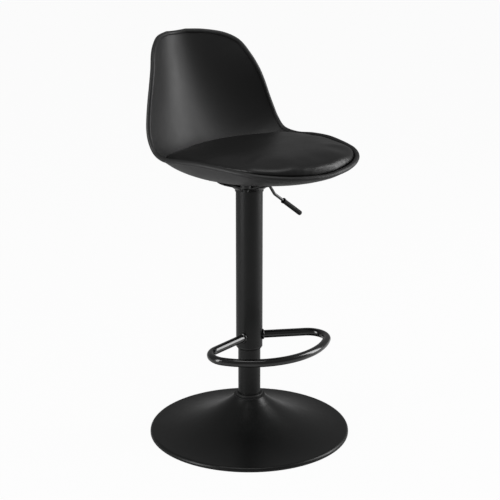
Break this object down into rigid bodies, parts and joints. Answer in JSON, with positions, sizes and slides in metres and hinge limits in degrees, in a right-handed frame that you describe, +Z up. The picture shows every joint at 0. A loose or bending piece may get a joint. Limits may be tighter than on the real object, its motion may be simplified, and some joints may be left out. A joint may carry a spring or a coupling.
{
  "type": "bar stool",
  "caption": "Height-adjustable bar stool with a trumpet base, gas lift column, loop footrest, side lever and a moulded bucket seat with a padded cushion.",
  "frame": {"origin": "on the floor at the axis of the column, at the underside of the base's floor pad", "axes": "+Z up along the column, -Y the way the sitter faces, +X towards the lever"},
  "size_m": [0.41, 0.466, 0.8068],
  "materials": {
    "black_powder_coat": "satin black powder coat",
    "black_gloss_paint": "gloss black paint",
    "black_plastic": "fine matte texture",
    "black_rubber": "matte",
    "faux_leather": "coated fabric with a soft leather sheen, over foam",
    "bare_steel": "zinc plated or ground"
  },
  "bodies": {
    "base": {"base_shell": "black_powder_coat", "base_floor_pad": "black_rubber", "base_ballast": "bare_steel", "base_bolt": "bare_steel", "base_collar": "black_plastic", "stand_tube": "black_powder_coat", "stand_foot": "bare_steel", "lift_seat": "bare_steel", "stand_guide_bush": "black_plastic", "bearing_lower_race": "bare_steel"},
    "swivel": {"piston_rod": "bare_steel", "bearing_upper_race": "bare_steel", "bearing_balls": "bare_steel", "rod_clip": "bare_steel", "bump_stop": "black_rubber"},
    "carriage": {"gas_cylinder": "black_powder_coat", "rod_gland": "black_plastic", "cover_tube": "black_powder_coat", "cover_bush": "black_plastic", "footrest_hoop": "black_gloss_paint", "footrest_welds": "black_gloss_paint", "taper_hub": "black_powder_coat", "seat_cup": "black_powder_coat", "seat_plate": "black_powder_coat", "seat_bolts": "bare_steel", "seat_washers": "bare_steel", "seat_spacers": "black_plastic", "lever_bracket": "black_powder_coat", "lever_pin": "bare_steel", "seat_shell": "black_plastic", "cushion": "faux_leather"},
    "lever": {"lever_rod": "black_gloss_paint", "lever_grip": "black_rubber"},
    "valve": {"valve_button": "black_plastic"}
  },
  "joints": [
    {"name": "swivel_turn", "type": "hinge", "parent": "base", "child": "swivel", "pos_m": [0, 0, 0.04], "axis": [0, 0, 1], "continuous": true},
    {"name": "height_slide", "type": "slide", "parent": "swivel", "child": "carriage", "axis": [0, 0, 1], "range_m": [0, 0.21]},
    {"name": "lever_lift", "type": "hinge", "parent": "carriage", "child": "lever", "pos_m": [0.024, 0, 0.5266], "axis": [0, -1, 0], "range_deg": [0, 10], "stiffness_Nm_per_rad": 0.8},
    {"name": "valve_press", "type": "slide", "parent": "carriage", "child": "valve", "axis": [0, 0, -1], "range_m": [0, 0.0043], "stiffness_N_per_m": 200}
  ],
  "couplings": [
    {"joint": "valve_press", "follows": "lever_lift", "m_per_rad": 0.024}
  ]
}
